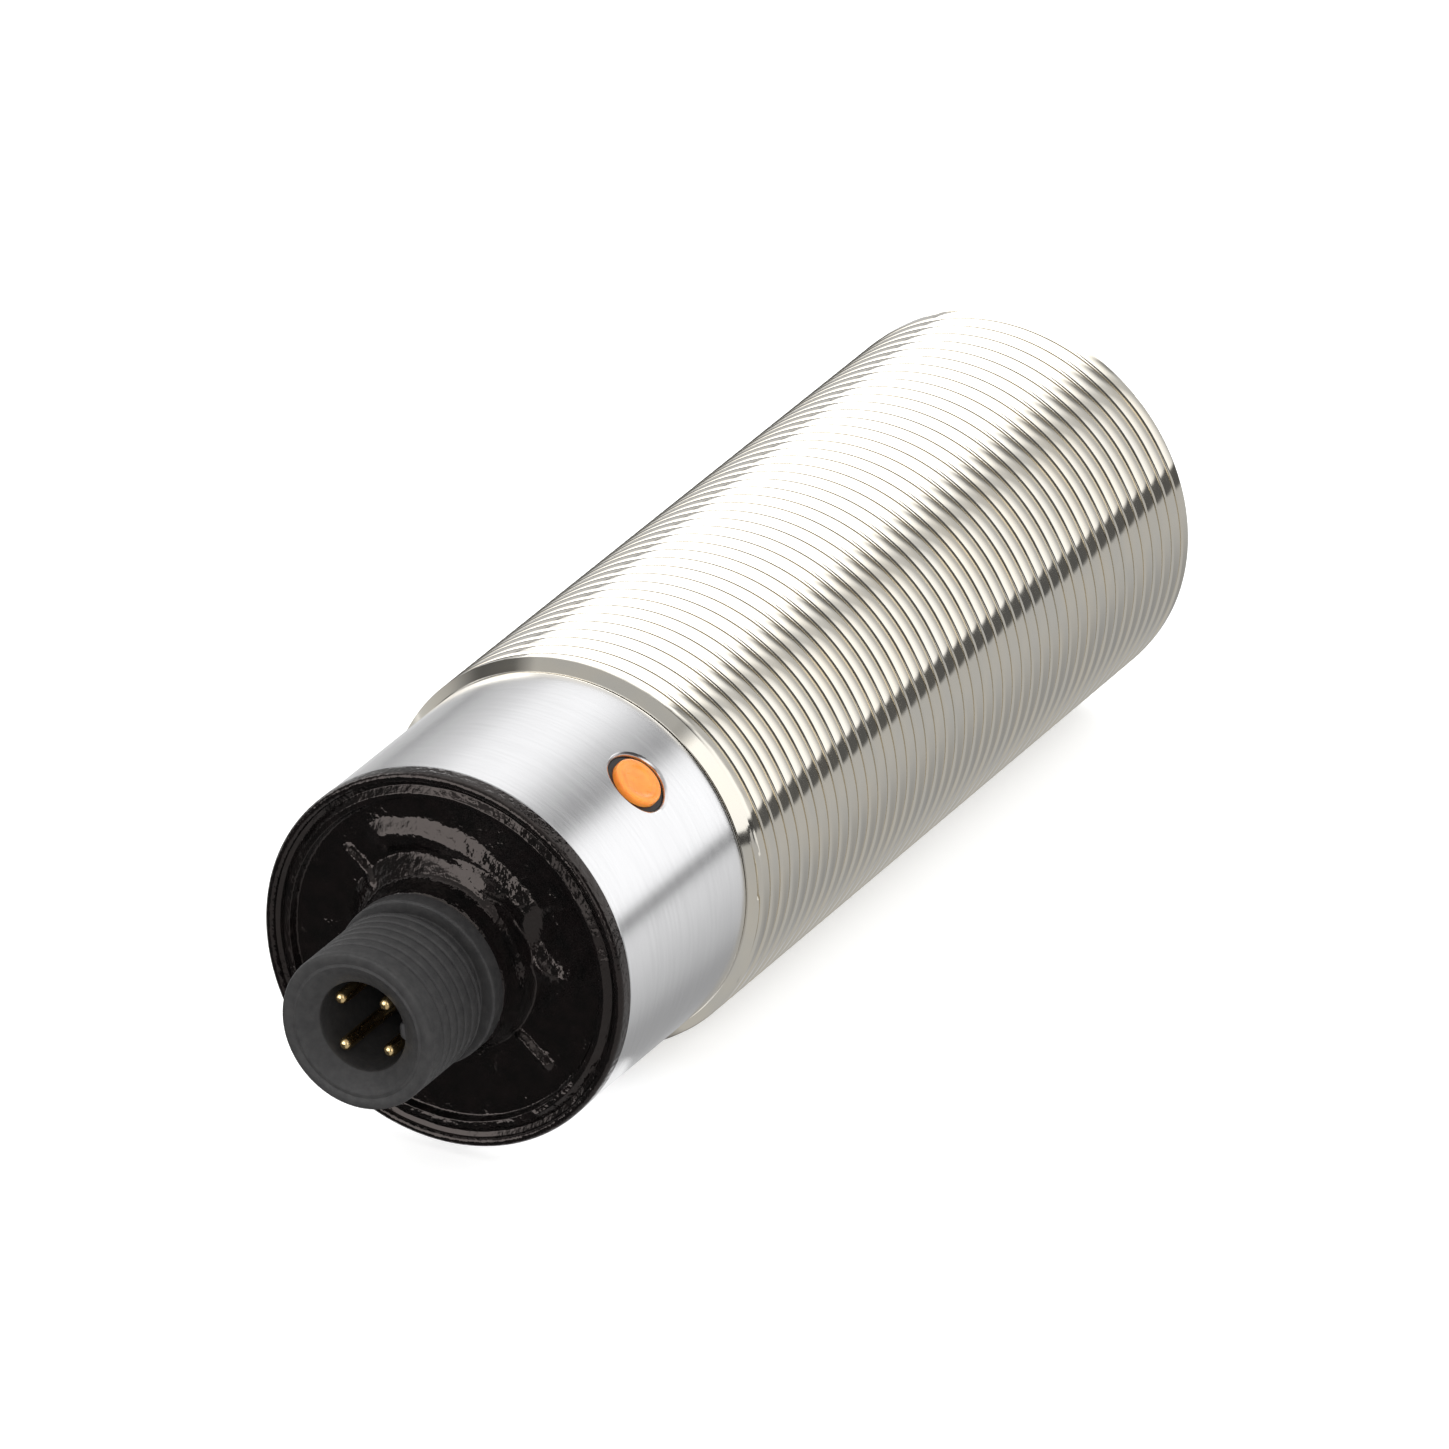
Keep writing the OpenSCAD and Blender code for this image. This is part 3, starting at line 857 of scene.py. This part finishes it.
def make_plug():
    """The plug's shell: a helical thread, a relief and a collar, with the pins' cavity inside."""
    thread = Thread(PLUG_FORM, PLUG_R, PLUG_PITCH, PLUG_START_Y, PLUG_START_ANGLE)
    front = [(PLUG_R - PLUG_NOSE * (1 - math.cos(t)), TIP + PLUG_NOSE * (1 - math.sin(t)))
             for t in arc_steps(5)[1:]]
    rear = rounded([
        (PLUG_BACK_R, CARRIER_BACK), (PLUG_BACK_R, HUB_END), (HUB_R, HUB_END), (HUB_R, COLLAR_FRONT),
        (RELIEF_R, COLLAR_FRONT), (RELIEF_R, PLUG_THREAD_END)
    ], [0.1, 0.05, 0.12, 0.2, 0.15, 0.1])
    low = TIP + PLUG_NOSE
    high = PLUG_THREAD_END - RUN_OUT
    out = [(PLUG_R - RUN_OUT_DROP * k / 4, high + RUN_OUT * k / 4) for k in range(1, 5)]
    plain = list(reversed(rear)) + list(reversed(plug_cavity()))
    bm = bmesh.new()
    thread.skin(bm, low, high, PLUG_SIDES)
    rings = [thread.ring(high, PLUG_SIDES, PLUG_R)]
    rings += [thread.ring(y, PLUG_SIDES, r) for r, y in out]
    rings += [[polar(r, y, PLUG_START_ANGLE - TAU * i / PLUG_SIDES) for i in range(PLUG_SIDES)]
              for r, y in plain]
    rings += [thread.ring(y, PLUG_SIDES, r) for r, y in reversed(front)]
    rings.append(thread.ring(low, PLUG_SIDES, PLUG_R))
    add_rings(bm, rings, closed=False)
    add_key(bm)
    return finish_mesh(bm, "plug_shell", 40)


def add_key(bm):
    """The coding rib on the cavity wall, with rounded inner edges and a sloping front end."""
    # Half of the rib's outline, as (distance from its middle, height above the wall)
    side = [(KEY_HALF_WIDTH, -KEY_ROOT), (KEY_HALF_WIDTH, KEY_HEIGHT - 0.2),
            (KEY_HALF_WIDTH - 0.12, KEY_HEIGHT - 0.05), (KEY_HALF_WIDTH - 0.3, KEY_HEIGHT)]
    face = [(-across, height) for across, height in side] + side[::-1]
    cos, sin = math.cos(KEY_ANGLE), math.sin(KEY_ANGLE)
    rings = []
    for y, lower in ((KEY_START, 0.25), (KEY_START + 0.15, 0.05), (KEY_START + 0.3, 0), (WALL_END - 0.01, 0)):
        ring = []
        for across, height in face:
            r = WALL_R - (height - lower if height > 0 else height)
            ring.append((r * cos - across * sin, y, r * sin + across * cos))
        rings.append(ring)
    verts = add_rings(bm, rings, closed=False)
    bm.faces.new(verts[0])
    bm.faces.new(verts[-1][::-1])


stand_for(make_plug(), "plug_housing")


CARRIER_STEPS = 24
CARRIER_SIDES = 96
BOSS_HEIGHT = 0.25
BOSS_SIDE = (0.85, 1.1)
PIN_R = 0.5
NOSE_LENGTH = 0.55


def pin_angle(index):
    """The angle of a contact, numbered from 1; the first lies under the indicator."""
    return INDICATOR_ANGLE + (index - 1) * math.pi / 2


def boss_lift(x, z):
    """How far the insert's face stands proud round the nearest contact."""
    distances = []
    for index in PINS:
        pin_x, _, pin_z = polar(PIN_CIRCLE_R, 0, pin_angle(index))
        distances.append(math.hypot(x - pin_x, z - pin_z))
    return BOSS_HEIGHT * (1 - smooth_step(min(distances), *BOSS_SIDE))


def make_carrier():
    """The insert at the cavity's floor, with a low boss round each contact."""
    face = [(CAVITY_R * k / CARRIER_STEPS, CAVITY_FLOOR) for k in range(CARRIER_STEPS)]
    face.append((CAVITY_R - 0.12, CAVITY_FLOOR))
    rings = [[(x, y - boss_lift(x, z), z) for x, y, z in ring] for ring in turned_rings(face, CARRIER_SIDES)]
    back = [(CAVITY_R, CAVITY_FLOOR + 0.1), (CAVITY_R, CARRIER_BACK), (0, CARRIER_BACK)]
    bm = bmesh.new()
    add_rings(bm, rings + turned_rings(back, CARRIER_SIDES), closed=False)
    return finish_mesh(bm, "contact_carrier", 45)


stand_for(make_carrier(), "pin_carrier")


def make_pin(index):
    """A round contact with a bullet-shaped tip."""
    tip = low_y(f"contact_pin_{index}")
    back = high_y(f"contact_pin_{index}")
    nose = [(PIN_R * math.sin(t) ** 0.8, tip + NOSE_LENGTH * (1 - math.cos(t))) for t in arc_steps(8)]
    outline = nose + [(PIN_R, back - 0.05), (PIN_R - 0.05, back), (0, back)]
    piece = turned(f"contact_{index}", outline, 32, closed=False)
    x, _, z = polar(PIN_CIRCLE_R * MM, 0, pin_angle(index))
    piece.data.transform(Matrix.Translation((x, 0, z)))
    return piece


for pin in PINS:
    stand_for(make_pin(pin), f"contact_pin_{pin}")


# ---------------------------------------------------------------- sensing face

WINDOW_R = 11.9
WINDOW_T = 2.0
WINDOW_SEAT = -WINDOW_T - 0.25
BEZEL_R = FRONT_BORE_R - 0.05
BEZEL_BORE_R = 10.8
FACE_SIDES = 144
DOME_EDGE = 1.4
DOME_STEPS = 16


def make_bezel():
    """The ring that holds the window, with a ledge behind it."""
    outline = rounded([
        (BEZEL_R, -FRONT_BORE_DEPTH), (BEZEL_R, 0), (WINDOW_R, 0), (WINDOW_R, WINDOW_SEAT),
        (BEZEL_BORE_R, WINDOW_SEAT), (BEZEL_BORE_R, -FRONT_BORE_DEPTH)
    ], [0.05, 0.15, 0.08, 0.03, 0.08, 0.08])
    return turned("face_bezel", outline, FACE_SIDES)


def make_window():
    """A flat disc with eased edges."""
    outline = rounded([(0, -WINDOW_T), (WINDOW_R, -WINDOW_T), (WINDOW_R, 0), (0, 0)], [0, 0.05, 0.12, 0])
    return turned("face_window", outline, FACE_SIDES, closed=False)


def make_lens(node):
    """A plano-convex lens; its sag follows from the CAD node's box."""
    low, high = [Vector(v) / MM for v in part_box(node)]
    centre_x = (low.x + high.x) / 2
    r = (high.x - low.x) / 2
    sag = high.y - (low.y + DOME_EDGE)
    curve_r = (r * r + sag * sag) / (2 * sag)
    radii = [r * (1 - k / DOME_STEPS) for k in range(DOME_STEPS + 1)]
    dome = [(across, high.y - curve_r + math.sqrt(curve_r ** 2 - across ** 2)) for across in radii]
    outline = [(0, low.y), (r - 0.1, low.y), (r, low.y + 0.1)] + dome
    piece = turned(node.replace("lens", "dome"), outline, 96, closed=False)
    piece.data.transform(Matrix.Translation((centre_x * MM, 0, 0)))
    return piece


stand_for(make_bezel(), "front_bezel")
stand_for(make_window(), "front_window")
stand_for(make_lens("emitter_lens"), "emitter_lens")
stand_for(make_lens("receiver_lens"), "receiver_lens")


# ---------------------------------------------------------------- studio

CAMERA_AZIMUTH = math.radians(27.8)
CAMERA_ELEVATION = math.radians(25.6)
CAMERA_DISTANCE = 1.47
CAMERA_LENS = 512
CAMERA_SENSOR = 36
AIM = Vector((0.0027, (cad_low[1] + cad_high[1]) / 2, 0.0032))
FLOOR_SIZE = 8
FLOOR_GLOW = 0.42

# The floor cards' edges, in metres, and how far they lie above the floor
CARD_LEFT_X = -0.4
CARD_NOTCH_X = -0.062
CARD_RIGHT_X = -0.025
CAP_CARD_TIP_X = 0.012
CAP_CARD_REAR_Y = -0.087
CAP_CARD_TIP_Y = -0.072
CARD_SPLIT_Y = -0.06
CARD_NOTCH_Y = -0.042
CARD_FRONT_Y = 0.5
CARD_LIFT = 0.0001
SIDE_CARD_LEVEL = 0.55
CAP_CARD_LEVEL = 1.0


def grey(level):
    return (level, level, level, 1)


def make_camera():
    """The camera behind and above the plug, to its right, turned to look at the body's middle."""
    back = Vector((math.sin(CAMERA_AZIMUTH) * math.cos(CAMERA_ELEVATION),
                   -math.cos(CAMERA_AZIMUTH) * math.cos(CAMERA_ELEVATION), math.sin(CAMERA_ELEVATION)))
    data = bpy.data.cameras.new("camera")
    data.lens = CAMERA_LENS
    data.sensor_width = CAMERA_SENSOR
    data.clip_end = 20
    camera = add_object("camera", data)
    camera.location = AIM + back * CAMERA_DISTANCE
    camera.rotation_euler = back.to_track_quat("Z", "Y").to_euler()
    bpy.context.scene.camera = camera


def glowing_paper(name, color, glow_color, glow):
    """Matt paper that gives some light of its own."""
    material = new_material(name, color, 0.9, Specular_IOR_Level=0.0,
                            Emission_Color=glow_color, Emission_Strength=glow)
    add_bump(material, (0.5, 0.5, 0.5), 0.02, 0.1)
    return material


def make_floor():
    bpy.ops.mesh.primitive_plane_add(size=FLOOR_SIZE, location=(0, 0, cad_low[2]))
    floor = bpy.context.object
    floor.name = "floor"
    floor.visible_glossy = False
    floor.data.materials.append(glowing_paper("floor_paper", (0.93, 0.93, 0.925), grey(1), FLOOR_GLOW))


def make_card(name, level, outlines):
    """A glowing sheet just above the floor, which only mirror-like surfaces see."""
    bm = bmesh.new()
    for outline in outlines:
        bm.faces.new([bm.verts.new((x, y, cad_low[2] + CARD_LIFT)) for x, y in outline])
    mesh = bpy.data.meshes.new(name)
    bm.to_mesh(mesh)
    bm.free()
    card = add_object(name, mesh)
    card.data.materials.append(glowing_paper(name + "_paper", (0.02, 0.02, 0.02), grey(level), 1.0))
    for ray in ("camera", "diffuse", "transmission", "volume_scatter", "shadow"):
        setattr(card, "visible_" + ray, False)


def rectangle(low_x, low_y, high_x, high_y):
    return [(low_x, low_y), (high_x, low_y), (high_x, high_y), (low_x, high_y)]


def make_cards():
    """The side card lies beside the barrel, and the cap card beside and under the sleeve, both towards -X."""
    make_card("side_card", SIDE_CARD_LEVEL, [[
        (CARD_LEFT_X, CARD_SPLIT_Y), (CARD_RIGHT_X, CARD_SPLIT_Y), (CARD_RIGHT_X, CARD_NOTCH_Y),
        (CARD_NOTCH_X, CARD_NOTCH_Y), (CARD_NOTCH_X, CARD_FRONT_Y), (CARD_LEFT_X, CARD_FRONT_Y)
    ]])
    make_card("cap_card", CAP_CARD_LEVEL, [
        rectangle(CARD_LEFT_X, CAP_CARD_REAR_Y, CARD_RIGHT_X, CARD_SPLIT_Y),
        rectangle(CARD_RIGHT_X, CAP_CARD_REAR_Y, CAP_CARD_TIP_X, CAP_CARD_TIP_Y),
    ])


# The light tent. The walls' brightness goes by compass angle from +Y towards +X, in three belts that
# blend where the direction's y lies in MIDDLE_FROM and END_FROM.
TENT_LEVELS = [(-180, 2.8), (-142, 2.8), (-130, 1.2), (-123, 0.15), (-106, 0.1), (-98, 0.45), (-90, 0.6),
               (-78, 2.8), (-58, 1.0), (-45, 0.45), (-36, 0.46), (-28, 0.85), (-14, 0.92), (-4, 0.72),
               (4, 0.36), (11, 0.17), (16, 0.1), (23.5, 0.04), (26.5, 0.9), (30, 1.22), (50, 1.22),
               (62, 0.2), (72, 0.05), (114, 0.05), (126, 1.2), (148, 1.3), (155, 0.1), (178, 0.1), (180, 2.8)]
# The belts towards the sensing face, which the thread's sloping crests mirror
MIDDLE_LEVELS = [(-60, 2.0), (0, 1.8), (9, 1.6), (13, 1.25), (15, 0.75), (18.5, 0.65), (20, 1.05),
                 (24, 1.3), (60, 1.3), (90, 0.2)]
END_LEVELS = [(-90, 2.0), (-10, 1.9), (-1, 1.8), (3, 1.3), (5, 0.28), (9.5, 0.24), (12.5, 0.55),
              (30, 0.56), (60, 0.56), (90, 0.2)]
MIDDLE_FROM = (0.805, 0.835)
END_FROM = (0.86, 0.905)
# The roof is darker towards the plug, where its edge also comes lower.
ROOF_EDGE = (0.66, 0.76)
ROOF_TURN = (-0.25, 0.1)
ROOF_DIP = 0.12
REAR_ROOF = 0.48
FRONT_ROOF = 1.1
# The horizon is a dark band. It sinks towards the sensing face (by y) and, on the body's -X side,
# towards the plug (by compass angle).
HORIZON_BAND = 0.085
HORIZON_DEEPER = 0.03
HORIZON_BLUR = 0.02
SLEEVE_HORIZON = 0.06
THREAD_HORIZON = 0.1
FAR_DIP_FROM = (0.798, 0.998)
FAR_DIP = 0.09
SIDE_DIP_DEGREES = (-100, -80)
SIDE_DIP = 0.12
# Brightness of the ground below the horizon, by the direction's z, as the sleeve and as the thread
# mirror it. Where the direction's y is below GROUND_FROM, the ground is dark towards -X and grey
# towards +X.
SLEEVE_GROUND = [(-0.6, 0.36), (-0.55, 0.5), (-0.5, 0.59), (-0.43, 0.66), (-0.35, 0.75), (-0.26, 0.85),
                 (-0.15, 0.95)]
THREAD_GROUND = [(-0.66, 0.2), (-0.58, 0.28), (-0.47, 0.38), (-0.4, 0.45), (-0.3, 0.5), (-0.15, 0.5)]
GROUND_FROM = (0.6, 0.7)
RIGHT_SIDE_FROM = (-0.15, 0.0)
RIGHT_SIDE_GROUND = 0.5
# What everything but the mirror-like surfaces gets
AMBIENT = 1.12
PAPER_WHITE = 1.0


def turn_share(degrees):
    """A compass angle as a share of the way from -180 to 180 degrees."""
    return (degrees + 180) / 360


class WorldNodes:
    """Short ways to add and link a world's nodes. Every method returns the new node's output."""

    def __init__(self, world):
        self.nodes = world.node_tree.nodes
        self.links = world.node_tree.links

    def ramp(self, factor, stops):
        ramp = self.nodes.new("ShaderNodeValToRGB")
        elements = ramp.color_ramp.elements
        for index, (position, level) in enumerate(stops):
            element = elements[index] if index < 2 else elements.new(position)
            element.position = position
            element.color = grey(level)
        self.links.new(factor, ramp.inputs["Fac"])
        return ramp.outputs["Color"]

    def spread(self, value, low, high, to_low=0.0, to_high=1.0):
        """The value, stretched from one range to another and held inside it."""
        spread = self.nodes.new("ShaderNodeMapRange")
        ends = {"From Min": low, "From Max": high, "To Min": to_low, "To Max": to_high}
        for socket, number in ends.items():
            spread.inputs[socket].default_value = number
        self.links.new(value, spread.inputs["Value"])
        return spread.outputs["Result"]

    def maths(self, operation, first, second):
        node = self.nodes.new("ShaderNodeMath")
        node.operation = operation
        self.links.new(first, node.inputs[0])
        self.links.new(second, node.inputs[1])
        return node.outputs[0]

    def mix(self, factor, first, second):
        """A blend of two colours, each a tuple or another node's output."""
        blend = self.nodes.new("ShaderNodeMix")
        blend.data_type = "RGBA"
        self.links.new(factor, blend.inputs["Factor"])
        sockets = [socket for socket in blend.inputs if socket.type == "RGBA"]
        for socket, color in zip(sockets, (first, second)):
            if isinstance(color, tuple):
                socket.default_value = color
            else:
                self.links.new(color, socket)
        return [socket for socket in blend.outputs if socket.type == "RGBA"][0]


def tent_light(world, compass, y, z):
    """The light of the tent's walls and roof."""
    belts = [world.ramp(compass, [(turn_share(degrees), level) for degrees, level in levels])
             for levels in (TENT_LEVELS, MIDDLE_LEVELS, END_LEVELS)]
    walls = world.mix(world.spread(y, *MIDDLE_FROM), belts[0], belts[1])
    walls = world.mix(world.spread(y, *END_FROM), walls, belts[2])
    roof = world.mix(world.spread(y, *ROOF_TURN), grey(REAR_ROOF), grey(FRONT_ROOF))
    height = world.maths("ADD", z, world.spread(y, *ROOF_TURN, ROOF_DIP, 0.0))
    return world.mix(world.spread(height, *ROOF_EDGE), walls, roof)


def horizon_height(world, compass, y, z):
    """The direction's height above the horizon."""
    height = world.maths("ADD", z, world.spread(y, *FAR_DIP_FROM, 0.0, FAR_DIP))
    side = [turn_share(degrees) for degrees in SIDE_DIP_DEGREES]
    return world.maths("ADD", height, world.spread(compass, *side, SIDE_DIP, 0.0))


def ground_light(world, height, x, y, z):
    """The light below the horizon: a dark band, and the ground under it."""
    to_thread = world.spread(y, *MIDDLE_FROM)
    depth = world.spread(z, -1, 0)
    near, far = [world.ramp(depth, [(1 + low, level) for low, level in levels])
                 for levels in (SLEEVE_GROUND, THREAD_GROUND)]
    lit = world.mix(to_thread, near, far)
    dark = world.mix(to_thread, grey(SLEEVE_HORIZON), grey(THREAD_HORIZON))
    ground = world.mix(world.spread(x, *RIGHT_SIDE_FROM), dark, grey(RIGHT_SIDE_GROUND))
    ground = world.mix(world.spread(y, *GROUND_FROM), ground, lit)
    deep = world.maths("ADD", height, world.spread(y, *MIDDLE_FROM, 0.0, HORIZON_DEEPER))
    return world.mix(world.spread(deep, -HORIZON_BAND - HORIZON_BLUR, -HORIZON_BAND), ground, dark)


def make_world():
    """A light tent that glossy surfaces mirror, and an even white light for everything else."""
    studio = bpy.data.worlds.new("studio")
    bpy.context.scene.world = studio
    studio.use_nodes = True
    world = WorldNodes(studio)
    direction = world.nodes.new("ShaderNodeTexCoord").outputs["Generated"]
    split = world.nodes.new("ShaderNodeSeparateXYZ")
    world.links.new(direction, split.inputs["Vector"])
    x, y, z = [split.outputs[axis] for axis in "XYZ"]
    compass = world.spread(world.maths("ARCTAN2", x, y), -math.pi, math.pi)
    height = horizon_height(world, compass, y, z)
    below = ground_light(world, height, x, y, z)
    above = tent_light(world, compass, y, z)
    mirrored = world.mix(world.spread(height, -HORIZON_BLUR, 0.0), below, above)
    rays = world.nodes.new("ShaderNodeLightPath")
    even = world.mix(rays.outputs["Is Camera Ray"], grey(AMBIENT), grey(PAPER_WHITE))
    color = world.mix(rays.outputs["Is Glossy Ray"], even, mirrored)
    world.links.new(color, world.nodes["Background"].inputs["Color"])


def add_lamp(name, place, size, power):
    """A large soft lamp that points at the part and isn't mirrored in it."""
    data = bpy.data.lights.new(name, "AREA")
    data.shape = "DISK"
    data.size = size
    data.energy = power
    lamp = add_object(name, data)
    lamp.location = place
    lamp.rotation_euler = (Vector(place) - AIM).to_track_quat("Z", "Y").to_euler()
    lamp.visible_glossy = False


def make_lamps():
    add_lamp("top_lamp", place=(-0.05, 0.0, 0.8), size=0.9, power=0.6)
    add_lamp("front_lamp", place=(0.50, -1.0, 0.58), size=0.35, power=4.0)


make_camera()
make_floor()
make_cards()
make_world()
make_lamps()
bpy.context.scene.view_settings.view_transform = "Standard"
